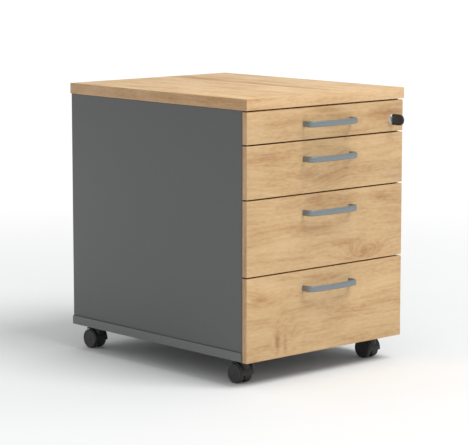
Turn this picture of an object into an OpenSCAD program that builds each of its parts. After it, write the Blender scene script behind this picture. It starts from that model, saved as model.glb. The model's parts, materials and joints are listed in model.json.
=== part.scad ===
// Rolling pedestal cabinet: a pen drawer, three steel drawers on full-extension runners, a central
// lock and four twin-wheel castors.
// Millimetres, +Z up, drawer fronts face -Y, floor at z = 0, origin under the middle of the outer box.

/* [Carcass] */
// Width of the top and base panels
top_w = 432; // [428:1:440]
// Depth of the top panel
top_d = 542; // [540:1:580]
// Height of the top surface above the floor
total_h = 560; // [556:1:590]
// Thickness of the top panel
top_t = 22; // [19:1:25]
// Thickness of the base panel
base_t = 18; // [16:1:20]
// Thickness of the side and back panels
side_t = 16; // [15:1:18]
// How far the top and base stand out past each side panel
side_inset = 2; // [1:0.5:3]
// How far the side and back panels stop short of the top's back edge
back_inset = 1.5; // [1:0.5:4]

/* [Drawers] */
// Thickness of the drawer fronts
front_t = 12.5; // [12:0.5:14]
// How far the fronts sit behind the top's front edge
front_recess = 2; // [1:0.5:4]
// Gap above and between the fronts
front_gap = 3; // [2:0.5:4]
// Height of the pen drawer's front
front_1_h = 62; // [61:0.5:64]
// Height of the second front
front_2_h = 102; // [100:0.5:110]
// Height of the third front
front_3_h = 146.5; // [140:0.5:150]
// Depth of the three large steel drawer boxes
box_d = 470; // [440:5:480]
// Depth of the pen drawer's steel chassis
chassis_d = 410; // [380:5:430]
// Length of the runners' cabinet members
rail_len = 450; // [440:5:470]

/* [Handles] */
// Distance between a handle's screws
handle_pitch = 128; // [96:32:160]
// How far a handle stands out from its front
handle_reach = 29; // [22:1:32]
// Height of a handle's band
handle_h = 12; // [8:0.5:14]
// Thickness of a handle's band
handle_t = 5.5; // [5:0.5:7]
// Distance from a large front's top edge down to its handle
handle_drop = 34.5; // [30:0.5:45]

/* [Castors] */
// Diameter of a castor wheel
wheel_d = 40; // [38:0.5:41]
// Width of one wheel
wheel_w = 10.5; // [10:0.5:12]
// Gap between the two wheels of a castor
wheel_gap = 10; // [10:0.5:12]
// Distance from the swivel axis to the axle
castor_trail = 13; // [11:0.5:13]
// Height of a castor from the floor to the base panel
castor_h = 52; // [51:0.5:56]
// Distance from the top's side edge in to a swivel axis
castor_inset_x = 39; // [38:0.5:50]
// Distance from the top's front edge in to a front castor's swivel axis
castor_inset_front = 48.5; // [42:0.5:60]
// Distance from the top's back edge in to a back castor's swivel axis
castor_inset_back = 37.5; // [37.5:0.5:60]

/* [Lock] */
// Distance from the top's right edge in to the lock's axis
lock_inset = 34; // [33.5:0.5:35]
// Distance from the pen drawer front's top edge down to the lock's axis
lock_drop = 38; // [37.5:0.5:38.5]
// Length of the key's plastic bow
key_bow_len = 29; // [24:1:32]
// Height of the key's plastic bow
key_bow_h = 22; // [18:1:24]

/* [Hidden] */
$fn = 48;
e = 1; // overshoot of a cutting shape past the face that it cuts

// Panels
inner_w = top_w - 2 * side_inset - 2 * side_t;
inner_x = inner_w / 2;
side_mid_x = inner_x + side_t / 2;
top_z = total_h - top_t;
base_z = castor_h;
floor_z = base_z + base_t;
panel_gap = 1.5; // air between the fronts and the carcass

// Lock and key, from the front's face outwards
collar_t = 3.5;
key_gap = 0.5;
reach = collar_t + key_gap + key_bow_len - front_recess;
top_y = (reach - top_d) / 2;
back_y = top_y + top_d;
face_y = top_y + front_recess;
rear_y = face_y + front_t;
carcass_y = rear_y + panel_gap;
side_back_y = back_y - back_inset;
back_panel_y = side_back_y - side_t;

// Drawer fronts, counted 0 to 3 from the top
front_w = top_w - 2 * side_inset;
front_drop = 1; // how far the last front reaches below the base panel
front_heights = [front_1_h, front_2_h, front_3_h];
function front_z1(k) = k == 0 ? top_z - front_gap : front_z0(k - 1) - front_gap;
function front_z0(k) = k == 3 ? base_z - front_drop : front_z1(k) - front_heights[k];
function handle_z(k) = k == 0 ? (front_z0(0) + front_z1(0)) / 2 : front_z1(k) - handle_drop;

// Handles: two legs, two bends and a shallow arch
handle_bend = 10;
handle_sag = 4;
arch_half = handle_pitch / 2 - handle_bend;
arch_r = (arch_half * arch_half + handle_sag * handle_sag) / (2 * handle_sag);
arch_y = -handle_reach + handle_t / 2 + arch_r;
bend_y = arch_y - sqrt(pow(arch_r - handle_bend, 2) - arch_half * arch_half);
bend_end = 360 + atan2(bend_y - arch_y, -arch_half);

// Steel sheet parts
sheet = 1;
rail_room = 13; // between a side panel and a steel box, for the runner
box_x = inner_x - rail_room;
box_lift = 6;
box_clear = 14;
hem_h = 6;
fix_edge = 14; // from a box's underside or rim to the middle of its front screws
fix_xs = [-150, 150];
function box_z0(k) = max(front_z0(k), floor_z) + box_lift;
function box_z1(k) = front_z1(k) - box_clear;

// Runners: C sections of thin steel, each nested in the next
rail_t = 1.2;
rail_y = rear_y + 5;
rail_half = 22.5;
mid_half = 19.5;
slim_half = 8.5;
slim_drawer_half = 6;
drawer_half = 16.4;
rail_rise = 26; // from a box's underside up to its runners' middle
chassis_h = 13.5;
chassis_rise = 7; // from the chassis' underside up to its runners' middle and its front screws
chassis_z0 = front_z0(0) - 2;
slim_rail_len = chassis_d - 10;
rail_lip_x = inner_x - 9.5;
mid_web_x = inner_x - 3;
mid_lip_x = inner_x - 11.2;
drawer_lip_x = inner_x - 6;
slim_lip_x = inner_x - 3;
function rail_z(k) = k == 0 ? chassis_z0 + chassis_rise : box_z0(k) + rail_rise;

// Pen tray
tray_x = box_x - 5;
tray_t = 2;
tray_setback = 27; // behind the front, clear of the lock
tray_y = rear_y + tray_setback;
tray_d = chassis_d - tray_setback - 2 * sheet;
tray_h = 38;
tray_lift = 0.2;
tray_z = chassis_z0 + sheet + tray_lift;
tray_row = 62;
tray_split = 60;

// Screws and holes
screw_r = 1.75;
screw_len = 12;
screw_head_r = 3.5;
screw_head_t = 1.2;
hole_gap = 0.05; // radial air round a screw, a dowel or a shaft
fix_depth = 9; // of a box's front screws in the front
handle_screw_r = 2;
handle_screw_len = 12; // from a front's face into the handle
handle_hole = handle_screw_len + 0.5;
handle_head_r = 4;
handle_head_t = 3;
handle_head_gap = 0.5;
counterbore = 4.5;
rail_screw_ys = [rail_y + 36, rail_y + 406];

// Panel joints
dowel_r = 4;
dowel_len = 30;
dowel_in_panel = 12;
dowel_ys = [carcass_y + 110, carcass_y + 415];
back_dowel_zs = [floor_z + 70, (floor_z + top_z) / 2, top_z - 70];
cam_ys = [carcass_y + 70, carcass_y + 455];
cam_r = 7.5;
cam_t = 12;
cam_from_end = 24;
cam_bolt_r = 2.5;
cam_head_r = 3.4;
cam_head_len = 5;
cam_bolt_in_panel = 11;
cam_head_air = 0.6; // round a bolt's head in its bore
cam_disc_air = 0.4; // round a bolt's head in its disc

// Castors
wheel_r = wheel_d / 2;
castor_half_w = wheel_gap / 2 + wheel_w;
axle_r = 3;
stem_r = 3.5;
stem_z = wheel_r + 5; // lower end of the stem
plate_w = 42;
plate_t = 2;
plate_z = base_z - plate_t;
plate_screw = 15;
plate_hole_air = 0.3;
hood_air = 1.3; // between a wheel's tread and the hood
hood_wall = 2.7;
web_air = 0.5; // between a wheel's inner face and the hood's web
boss_r = 10;
boss_air = 0.4; // between the hood's boss and the plate
axle_len = wheel_gap + 16;
axle_room = (axle_len - wheel_gap) / 2 + 0.3; // depth of a wheel's bore
wheel_rim = 2; // radius of a wheel's outer edge
wheel_dish = 0.7; // depth of the dish in a wheel's outer face
left_x = -top_w / 2 + castor_inset_x;
right_x = -left_x;
near_y = top_y + castor_inset_front;
far_y = back_y - castor_inset_back;

// Lock mechanism
lock_x = top_w / 2 - lock_inset;
lock_z = front_z1(0) - lock_drop;
collar_r = 10;
barrel_r = 9;
nut_wall = 2.5;
nut_t = 5;
core_r = 6.95;
core_bore_r = 7;
barrel_back_y = rear_y + 19;
crank_r = 6; // from the core's axis to its crank pin
crank_pin_r = 2;
crank_disc_r = 8.5;
crank_disc_t = 3;
crank_disc_y = barrel_back_y + 0.3;
crank_pin_len = 9.7;
crank_swing = crank_r * sin(45); // of the pin, up and down from the core's axis
keyway = [2.2, 23, 8];
groove_y = barrel_back_y;
groove_w = 12;
groove_depth = 6;
groove_ends = 6; // of the groove past the bar at each end of its travel
bar_x = inner_x + 0.4;
bar_t = 5;
bar_air = 0.5;
bar_end = 8; // of the bar past its last catch and its fork
bar_lift = 2 * crank_swing;
fork_air = 0.5;
fork_z = lock_z - crank_swing;
fork_y = barrel_back_y + 6;
fork_t = 4;
fork_h = 11;
fork_x = lock_x + 1.5;
pawl_x = box_x + 2; // tip of the bar's pawls, which hold the drawers
pawl_w = 6;
pawl_h = 4;
catch_size = [5, 4, 10]; // of the catch on a box that a pawl holds
catch_gap = 1.2; // between a lowered pawl and the catch above it
catch_slack = 1.5; // between a raised pawl and the catch behind it
function pawl_z(k) = rail_z(k) + rail_half + 8;
function guide_z(k) = pawl_z(k) + 25;
bar_z0 = pawl_z(3) - bar_end;
bar_z1 = fork_z + bar_end;
guide_h = 15;
guide_t = 1.5;
guide_rim = 6.5; // of a guide past the groove on each side
guide_peg_r = 2;
guide_peg_len = 6;
guide_peg_ys = [groove_y - guide_rim + 3, groove_y + groove_w + guide_rim - 3];
key_y = face_y - collar_t - key_gap;
key_t = 4;
blade = [1.8, 34, 7.5];
blade_in_bow = 12;
blade_air = 0.05;

// ---------- shared shapes ----------

// A cylinder that starts at the origin and runs along +X
module rod_x(r, len) rotate([0, 90, 0]) cylinder(r = r, h = len);

// A cylinder that starts at the origin and runs along +Y
module rod_y(r, len) rotate([-90, 0, 0]) cylinder(r = r, h = len);

// The child, and its mirror image across the cabinet's middle
module both_sides() {
  children();
  mirror([1, 0, 0]) children();
}

// A steel C section that runs in Y, with its web at web_x and its lips reaching to lip_x
module channel(web_x, lip_x, z_mid, half_h, y0, len) {
  w = abs(lip_x - web_x);
  low_x = min(web_x, lip_x);
  cut_x = lip_x > web_x ? low_x + rail_t : low_x - e;
  difference() {
    translate([low_x, y0, z_mid - half_h]) cube([w, len, 2 * half_h]);
    translate([cut_x, y0 - e, z_mid - half_h + rail_t])
      cube([w - rail_t + e, len + 2 * e, 2 * half_h - 2 * rail_t]);
  }
}

// Dowels between the side panels and the top, the base and the back, with their radius and end
// clearance widened by air
module dowel_set(air) {
  r = dowel_r + air;
  len = dowel_len + 2 * air;
  both_sides() {
    for (y = dowel_ys) {
      translate([side_mid_x, y, top_z + dowel_in_panel - dowel_len - air]) cylinder(r = r, h = len);
      translate([side_mid_x, y, floor_z - dowel_in_panel - air]) cylinder(r = r, h = len);
    }
    for (z = back_dowel_zs)
      translate([inner_x + dowel_in_panel - dowel_len - air, back_panel_y + side_t / 2, z])
        rod_x(r, len);
  }
}

// Places the child at each cam joint: origin at the panel's face, +Z into the side panel
module at_cam_joints() {
  both_sides() for (y = cam_ys) {
    translate([side_mid_x, y, floor_z]) children();
    translate([side_mid_x, y, top_z]) mirror([0, 0, 1]) children();
  }
}

// Shanks of the screws that hold the runners to the side panels, widened by air
module rail_screw_shanks(air) {
  both_sides() for (k = [0:3], y = rail_screw_ys)
    translate([inner_x - rail_t, y, rail_z(k)]) rod_x(screw_r + air, screw_len + rail_t + air);
}

// Places the child at the swivel axis of each castor, at floor level
module at_castors() {
  for (x = [left_x, right_x], y = [near_y, far_y]) translate([x, y, 0]) children();
}

// Places the child at each screw of a castor plate, at the plate's underside
module at_plate_screws() {
  for (x = [-plate_screw, plate_screw], y = [-plate_screw, plate_screw])
    translate([x, y, plate_z]) children();
}

// Shanks of the screws that hold the castor plates to the base, widened by air
module castor_screw_shanks(air)
  at_castors() at_plate_screws() cylinder(r = screw_r + air, h = plate_t + screw_len + air);

// Bores in the top and base panels for the cam bolts
module cam_bolt_bores()
  at_cam_joints() translate([0, 0, -cam_bolt_in_panel - hole_gap])
    cylinder(r = cam_bolt_r + hole_gap, h = cam_bolt_in_panel + hole_gap + e);

// ---------- carcass ----------

module top_panel() color("burlywood")
  difference() {
    translate([-top_w / 2, top_y, top_z]) cube([top_w, top_d, top_t]);
    dowel_set(hole_gap);
    cam_bolt_bores();
  }

module base_panel() color("dimgray")
  difference() {
    translate([-top_w / 2, carcass_y, base_z]) cube([top_w, back_y - carcass_y, base_t]);
    dowel_set(hole_gap);
    cam_bolt_bores();
    castor_screw_shanks(hole_gap);
  }

// The right side panel without the lock bar's groove
module side_blank() {
  difference() {
    translate([inner_x, carcass_y, floor_z]) cube([side_t, side_back_y - carcass_y, top_z - floor_z]);
    dowel_set(hole_gap);
    rail_screw_shanks(hole_gap);
    at_cam_joints() {
      translate([0, 0, -e]) cylinder(r = cam_head_r + cam_head_air, h = cam_from_end + e);
      translate([-side_t / 2 - e, 0, cam_from_end]) rod_x(cam_r + hole_gap, e + cam_t + hole_gap);
    }
  }
}

module side_left() color("dimgray") mirror([1, 0, 0]) side_blank();

module side_right() color("dimgray")
  difference() {
    side_blank();
    translate([inner_x - e, groove_y, bar_z0 - groove_ends])
      cube([groove_depth + e, groove_w, bar_z1 - bar_z0 + bar_lift + 2 * groove_ends]);
    lock_bar_guide_pegs(hole_gap);
  }

module back_panel() color("dimgray")
  difference() {
    translate([-inner_x, back_panel_y, floor_z]) cube([inner_w, side_t, top_z - floor_z]);
    dowel_set(hole_gap);
  }

module dowels() color("tan") dowel_set(0);

module cam_bolts() color("lightgray")
  at_cam_joints() {
    translate([0, 0, -cam_bolt_in_panel]) cylinder(r = cam_bolt_r, h = cam_bolt_in_panel + cam_from_end - 2);
    translate([0, 0, cam_from_end - 3]) cylinder(r = cam_head_r, h = cam_head_len);
  }

module cam_discs() color("darkgray")
  at_cam_joints() difference() {
    translate([-side_t / 2, 0, cam_from_end]) rod_x(cam_r, cam_t);
    translate([0, 0, cam_from_end - cam_r - e])
      cylinder(r = cam_head_r + cam_disc_air, h = e + cam_r + cam_head_len - 1);
  }

// ---------- castors ----------

// Plates with their screw holes, each with a stem pressed through its middle
module castor_plates() color("#26282a")
  at_castors() {
    difference() {
      translate([-plate_w / 2, -plate_w / 2, plate_z]) cube([plate_w, plate_w, plate_t]);
      at_plate_screws() translate([0, 0, -e]) cylinder(r = screw_r + plate_hole_air, h = plate_t + 2 * e);
      translate([0, 0, plate_z - e]) cylinder(r = stem_r + hole_gap, h = plate_t + 2 * e);
    }
    translate([0, 0, stem_z]) cylinder(r = stem_r, h = base_z - stem_z);
  }

module cabinet_screws() color("silver") {
  rail_screw_shanks(0);
  both_sides() for (k = [0:3], y = rail_screw_ys)
    translate([inner_x - rail_t - screw_head_t, y, rail_z(k)]) rod_x(screw_head_r, screw_head_t);
  castor_screw_shanks(0);
  at_castors() at_plate_screws() translate([0, 0, -screw_head_t])
    cylinder(r = screw_head_r, h = screw_head_t);
}

// Hood with its web between the wheels and its boss round the stem; the origin is the swivel axis
module castor_hood(x, y) color("#1d1e20")
  translate([x, y, 0]) difference() {
    union() {
      intersection() {
        translate([-castor_half_w, castor_trail, wheel_r])
          rod_x(wheel_r + hood_air + hood_wall, 2 * castor_half_w);
        translate([castor_half_w + e, castor_trail, wheel_r]) rotate([90, 0, -90])
          linear_extrude(2 * castor_half_w + 2 * e)
            polygon([[0, 0], [2 * wheel_r, -4], [2 * wheel_r, 2 * wheel_r], [-13, 2 * wheel_r]]);
      }
      intersection() {
        translate([-wheel_gap / 2 + web_air, castor_trail, wheel_r])
          rod_x(wheel_r + hood_air, wheel_gap - 2 * web_air);
        translate([-wheel_gap, -wheel_r, wheel_r * 0.4]) cube([2 * wheel_gap, 3 * wheel_r, 3 * wheel_r]);
      }
      translate([0, 0, wheel_r + boss_r]) cylinder(r = boss_r, h = plate_z - boss_air - wheel_r - boss_r);
    }
    for (well_x = [wheel_gap / 2 - web_air, -castor_half_w - e])
      translate([well_x, castor_trail, wheel_r]) rod_x(wheel_r + hood_air, wheel_w + web_air + e);
    translate([0, 0, stem_z - e]) cylinder(r = stem_r + hole_gap, h = base_z);
    translate([-wheel_gap, castor_trail, wheel_r]) rod_x(axle_r + 0.02, 2 * wheel_gap);
  }

module castor_axle(x, y) color("silver")
  translate([x - axle_len / 2, y + castor_trail, wheel_r]) rod_x(axle_r, axle_len);

// A wheel's section: radius against width, from its inner face to its closed outer face
wheel_outline = concat(
  [[axle_r + hole_gap, 0], [wheel_r - 1, 0], [wheel_r, 1]],
  [for (a = [0:15:90]) [wheel_r + wheel_rim * (cos(a) - 1), wheel_w + wheel_rim * (sin(a) - 1)]],
  [[wheel_r - 5, wheel_w], [wheel_r - 6, wheel_w - wheel_dish], [0, wheel_w - wheel_dish]],
  [[0, axle_room], [axle_r + hole_gap, axle_room]]
);

// dir is 1 for a castor's right wheel and -1 for its left one
module wheel(x, y, dir) color("#2c2d2f")
  translate([x + dir * wheel_gap / 2, y + castor_trail, wheel_r])
    rotate([0, dir * 90, 0]) rotate_extrude() polygon(wheel_outline);

// ---------- drawers ----------

module front(k) color("burlywood")
  difference() {
    translate([-front_w / 2, face_y, front_z0(k)]) cube([front_w, front_t, front_z1(k) - front_z0(k)]);
    for (x = [-handle_pitch / 2, handle_pitch / 2]) {
      translate([x, face_y - e, handle_z(k)]) rod_y(handle_screw_r + hole_gap, front_t + 2 * e);
      translate([x, rear_y - counterbore, handle_z(k)])
        rod_y(handle_head_r + handle_head_gap, counterbore + e);
    }
    fixing_shanks(k, hole_gap);
    if (k == 0) translate([lock_x, face_y - e, lock_z]) rod_y(barrel_r + hole_gap, front_t + 2 * e);
  }

// Heights of the screws that hold a steel box to its front
function fix_zs(k) = k == 0 ? [chassis_z0 + chassis_rise] : [box_z0(k) + fix_edge, box_z1(k) - fix_edge];

module fixing_shanks(k, air)
  for (x = fix_xs, z = fix_zs(k))
    translate([x, rear_y - fix_depth - air, z]) rod_y(screw_r + air, fix_depth + sheet + air);

// Handle screws, front fixing screws and, on the pen drawer, the lock's ring nut
module fixings(k) color("silver") {
  for (x = [-handle_pitch / 2, handle_pitch / 2]) {
    translate([x, face_y - handle_screw_len, handle_z(k)])
      rod_y(handle_screw_r, handle_screw_len + front_t - handle_head_gap - handle_head_t / 2);
    translate([x, rear_y - handle_head_gap - handle_head_t, handle_z(k)])
      rod_y(handle_head_r, handle_head_t);
  }
  fixing_shanks(k, 0);
  for (x = fix_xs, z = fix_zs(k))
    translate([x, rear_y + sheet, z]) rod_y(screw_head_r, screw_head_t);
  if (k == 0)
    translate([lock_x, rear_y, lock_z]) difference() {
      rod_y(barrel_r + nut_wall, nut_t);
      translate([0, -e, 0]) rod_y(barrel_r + hole_gap, nut_t + 2 * e);
    }
}

// Plan of a bow handle, as outlines at a shift from its middle line
function arc(cx, cy, r, from, to, steps) =
  [for (i = [0:steps]) let (a = from + (to - from) * i / steps) [cx + r * cos(a), cy + r * sin(a)]];
function reversed(list) = [for (i = [len(list) - 1:-1:0]) list[i]];
function mirrored(list) = [for (p = reversed(list)) [-p[0], p[1]]];
function bow_half(shift) = concat(
  [[-handle_pitch / 2 - shift, 0]],
  arc(-arch_half, bend_y, handle_bend + shift, 180, bend_end, 10),
  arc(0, arch_y, arch_r + shift, bend_end, 270, 8)
);
function bow_side(shift) = concat(bow_half(shift), mirrored(bow_half(shift)));

module handle(k) color("#8c9294")
  translate([0, face_y, handle_z(k)]) difference() {
    translate([0, 0, -handle_h / 2]) linear_extrude(handle_h)
      polygon(concat(bow_side(handle_t / 2), reversed(bow_side(-handle_t / 2))));
    for (x = [-handle_pitch / 2, handle_pitch / 2])
      translate([x, -handle_hole, 0]) rod_y(handle_screw_r + hole_gap, handle_hole + e);
  }

// Folded steel box: a bottom and four walls with a doubled top hem
module drawer_box(k) color("gainsboro") {
  z0 = box_z0(k);
  h = box_z1(k) - z0;
  difference() {
    translate([-box_x, rear_y, z0]) cube([2 * box_x, box_d, h]);
    translate([-box_x + sheet, rear_y + sheet, z0 + sheet])
      cube([2 * box_x - 2 * sheet, box_d - 2 * sheet, h - sheet - hem_h]);
    translate([-box_x + 2 * sheet, rear_y + 2 * sheet, z0 + h / 2])
      cube([2 * box_x - 4 * sheet, box_d - 4 * sheet, h]);
    fixing_shanks(k, hole_gap);
  }
}

// Shallow steel chassis that carries the pen tray
module pen_chassis() color("gainsboro")
  difference() {
    translate([-box_x, rear_y, chassis_z0]) cube([2 * box_x, chassis_d, chassis_h]);
    translate([-box_x + sheet, rear_y + sheet, chassis_z0 + sheet])
      cube([2 * box_x - 2 * sheet, chassis_d - 2 * sheet, chassis_h]);
    fixing_shanks(0, hole_gap);
  }

// One compartment of the pen tray, between two corners of its plan
module tray_cell(x0, y0, x1, y1)
  translate([x0, y0, tray_z + tray_t]) cube([x1 - x0, y1 - y0, tray_h]);

module pen_tray() color("#3a3c3e")
  difference() {
    translate([-tray_x, tray_y, tray_z]) cube([2 * tray_x, tray_d, tray_h]);
    for (row = [0:2]) {
      y0 = tray_y + tray_t + row * (tray_row + tray_t);
      tray_cell(-tray_x + tray_t, y0, tray_split, y0 + tray_row);
      tray_cell(tray_split + tray_t, y0, tray_x - tray_t, y0 + tray_row);
    }
    rest_y = tray_y + tray_t + 3 * (tray_row + tray_t);
    tray_cell(-tray_x + tray_t, rest_y, -tray_t / 2, tray_y + tray_d - tray_t);
    tray_cell(tray_t / 2, rest_y, tray_x - tray_t, tray_y + tray_d - tray_t);
  }

// ---------- runners ----------

module rails_cabinet(k) color("lightsteelblue")
  difference() {
    both_sides() channel(inner_x, rail_lip_x, rail_z(k), k == 0 ? slim_half : rail_half, rail_y, rail_len);
    rail_screw_shanks(hole_gap);
  }

module rails_middle(k) color("lightslategray")
  both_sides() channel(mid_web_x, mid_lip_x, rail_z(k), mid_half, rail_y, rail_len);

// Drawer members; above the right one of each large drawer sits the catch for the lock bar
module rails_drawer(k) color("silver") {
  both_sides()
    if (k == 0) channel(box_x, slim_lip_x, rail_z(k), slim_drawer_half, rail_y, slim_rail_len);
    else channel(box_x, drawer_lip_x, rail_z(k), drawer_half, rail_y, rail_len);
  if (k > 0)
    translate([box_x, fork_y + pawl_w / 2 + catch_slack, pawl_z(k) + pawl_h / 2 + catch_gap])
      cube(catch_size);
}

// ---------- central lock ----------

module lock_housing() color("silver")
  translate([lock_x, 0, lock_z]) difference() {
    union() {
      translate([0, face_y - collar_t, 0]) rod_y(collar_r, collar_t);
      translate([0, face_y - e, 0]) rod_y(barrel_r, barrel_back_y - face_y + e);
    }
    translate([0, face_y - collar_t - e, 0]) rod_y(core_bore_r, barrel_back_y - face_y + collar_t + 2 * e);
  }

// Core that the key turns, with a crank pin on its back; it rests with the pin low
module lock_core() color("silver")
  translate([lock_x, 0, lock_z]) {
    difference() {
      translate([0, face_y - collar_t, 0]) rod_y(core_r, crank_disc_y - face_y + collar_t);
      translate([-keyway[0] / 2, face_y - collar_t - e, -keyway[2] / 2]) cube(keyway + [0, e, 0]);
    }
    translate([0, crank_disc_y, 0]) rod_y(crank_disc_r, crank_disc_t);
    translate([crank_swing, crank_disc_y + crank_disc_t - e, -crank_swing])
      rod_y(crank_pin_r, crank_pin_len + e);
  }

module key_blade() color("silver")
  translate([lock_x - blade[0] / 2, key_y - blade_in_bow, lock_z - blade[2] / 2]) cube(blade);

module key_bow() color("#18191a")
  translate([lock_x, key_y, lock_z]) difference() {
    translate([-key_t / 2, 0, 0]) rotate([90, 0, 90]) linear_extrude(key_t) union() {
      translate([-key_bow_len + key_bow_h / 2, -key_bow_h / 2])
        square([key_bow_len - key_bow_h / 2, key_bow_h]);
      translate([-key_bow_len + key_bow_h / 2, 0]) circle(r = key_bow_h / 2);
    }
    translate([-blade[0] / 2 - blade_air, -blade_in_bow - blade_air, -blade[2] / 2 - blade_air])
      cube([blade[0] + 2 * blade_air, blade_in_bow + blade_air + e, blade[2] + 2 * blade_air]);
  }

// Moulded nylon bar in the side panel's groove: a fork takes the crank pin, three pawls hold the drawers
module lock_bar() color("whitesmoke") {
  translate([bar_x, groove_y + bar_air, bar_z0]) cube([bar_t, groove_w - 2 * bar_air, bar_z1 - bar_z0]);
  difference() {
    translate([fork_x, fork_y, fork_z - fork_h / 2]) cube([bar_x + e - fork_x, fork_t, fork_h]);
    translate([lock_x, fork_y - e, fork_z - crank_pin_r - fork_air])
      cube([crank_r + crank_pin_r + e, fork_t + 2 * e, 2 * (crank_pin_r + fork_air)]);
  }
  for (k = [1:3])
    translate([pawl_x, fork_y - pawl_w / 2, pawl_z(k) - pawl_h / 2])
      cube([bar_x + e - pawl_x, pawl_w, pawl_h]);
}

module lock_bar_guide_pegs(air)
  for (k = [1:3], y = guide_peg_ys)
    translate([inner_x - e, y, guide_z(k)]) rod_x(guide_peg_r + air, guide_peg_len + e + air);

module lock_bar_guides() color("#3a3c3e") {
  for (k = [1:3])
    translate([inner_x - guide_t, groove_y - guide_rim, guide_z(k) - guide_h / 2])
      cube([guide_t, groove_w + 2 * guide_rim, guide_h]);
  lock_bar_guide_pegs(0);
}

// ---------- nodes ----------

top_panel();
base_panel();
side_left();
side_right();
back_panel();
dowels();
cam_bolts();
cam_discs();
castor_plates();
cabinet_screws();
castor_hood(left_x, near_y);  // castor_hood_fl
castor_axle(left_x, near_y);  // castor_axle_fl
wheel(left_x, near_y, -1);  // wheel_fl_left
wheel(left_x, near_y, 1);  // wheel_fl_right
castor_hood(right_x, near_y);  // castor_hood_fr
castor_axle(right_x, near_y);  // castor_axle_fr
wheel(right_x, near_y, -1);  // wheel_fr_left
wheel(right_x, near_y, 1);  // wheel_fr_right
castor_hood(left_x, far_y);  // castor_hood_bl
castor_axle(left_x, far_y);  // castor_axle_bl
wheel(left_x, far_y, -1);  // wheel_bl_left
wheel(left_x, far_y, 1);  // wheel_bl_right
castor_hood(right_x, far_y);  // castor_hood_br
castor_axle(right_x, far_y);  // castor_axle_br
wheel(right_x, far_y, -1);  // wheel_br_left
wheel(right_x, far_y, 1);  // wheel_br_right
front(0);  // front_1
front(1);  // front_2
front(2);  // front_3
front(3);  // front_4
handle(0);  // handle_1
handle(1);  // handle_2
handle(2);  // handle_3
handle(3);  // handle_4
pen_chassis();  // pen_chassis_1
pen_tray();  // pen_tray_1
drawer_box(1);  // drawer_box_2
drawer_box(2);  // drawer_box_3
drawer_box(3);  // drawer_box_4
fixings(0);  // fixings_1
fixings(1);  // fixings_2
fixings(2);  // fixings_3
fixings(3);  // fixings_4
rails_cabinet(0);  // rails_cabinet_1
rails_cabinet(1);  // rails_cabinet_2
rails_cabinet(2);  // rails_cabinet_3
rails_cabinet(3);  // rails_cabinet_4
rails_middle(1);  // rails_middle_2
rails_middle(2);  // rails_middle_3
rails_middle(3);  // rails_middle_4
rails_drawer(0);  // rails_drawer_1
rails_drawer(1);  // rails_drawer_2
rails_drawer(2);  // rails_drawer_3
rails_drawer(3);  // rails_drawer_4
lock_housing();
lock_core();
key_blade();
key_bow();
lock_bar();
lock_bar_guides();
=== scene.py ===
"""Looks of a rolling pedestal cabinet: oak-decor top and fronts on a graphite carcass, bow handles,
a lock with its key, steel drawers on ball-bearing runners, and black twin-wheel castors."""

import json
import math

import bmesh
import bpy
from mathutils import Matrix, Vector

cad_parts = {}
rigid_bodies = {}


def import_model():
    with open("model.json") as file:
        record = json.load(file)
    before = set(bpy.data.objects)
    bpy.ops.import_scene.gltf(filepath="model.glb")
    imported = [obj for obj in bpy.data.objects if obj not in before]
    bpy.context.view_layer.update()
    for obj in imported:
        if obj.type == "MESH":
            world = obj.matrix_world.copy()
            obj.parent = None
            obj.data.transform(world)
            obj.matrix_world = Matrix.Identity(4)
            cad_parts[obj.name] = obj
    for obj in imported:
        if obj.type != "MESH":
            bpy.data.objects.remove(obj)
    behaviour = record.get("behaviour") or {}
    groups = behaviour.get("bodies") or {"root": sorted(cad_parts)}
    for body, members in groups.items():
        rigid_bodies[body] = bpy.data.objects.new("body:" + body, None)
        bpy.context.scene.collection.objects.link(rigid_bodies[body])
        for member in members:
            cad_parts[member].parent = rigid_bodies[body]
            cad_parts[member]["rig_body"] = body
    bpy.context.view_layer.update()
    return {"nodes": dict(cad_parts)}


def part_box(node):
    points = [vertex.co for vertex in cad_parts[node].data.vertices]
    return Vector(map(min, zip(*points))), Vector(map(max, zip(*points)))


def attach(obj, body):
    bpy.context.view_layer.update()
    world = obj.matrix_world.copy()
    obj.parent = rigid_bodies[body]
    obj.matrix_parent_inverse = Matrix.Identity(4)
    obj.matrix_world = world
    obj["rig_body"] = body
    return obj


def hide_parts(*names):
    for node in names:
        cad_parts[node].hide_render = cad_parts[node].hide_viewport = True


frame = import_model()
NODES = frame["nodes"]
MM = 0.001
CASTORS = ("fl", "fr", "bl", "br")
DRAWERS = (1, 2, 3, 4)


# ---------- camera ----------

def set_camera():
    """A long lens, a little above the cabinet's top, that sees the front and the left side."""
    turn, tilt = math.radians(42.15), math.radians(8.35)
    camera = bpy.data.objects.new("camera", bpy.data.cameras.new("camera"))
    camera.data.lens = 158.98
    camera.data.sensor_width = 36.0
    camera.data.clip_end = 100.0
    camera.location = (-2.8381, -3.1167, 0.8958)
    camera.rotation_euler = (math.pi / 2 - tilt, 0.0, -turn)
    bpy.context.scene.collection.objects.link(camera)
    bpy.context.scene.camera = camera


# ---------- nodes and colours ----------

def linear(hex_colour):
    """An sRGB hex colour as linear RGBA."""
    parts = [int(hex_colour[i:i + 2], 16) / 255 for i in (0, 2, 4)]
    parts = [p / 12.92 if p <= 0.04045 else ((p + 0.055) / 1.055) ** 2.4 for p in parts]
    return (*parts, 1.0)


def add(tree, kind, inputs=None, **settings):
    """A node of that kind. Inputs are values or other nodes' outputs, by socket name or number."""
    node = tree.nodes.new(kind)
    for name, value in settings.items():
        setattr(node, name, value)
    for key, value in (inputs or {}).items():
        if isinstance(value, bpy.types.NodeSocket):
            tree.links.new(value, node.inputs[key])
        else:
            node.inputs[key].default_value = value
    return node


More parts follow.
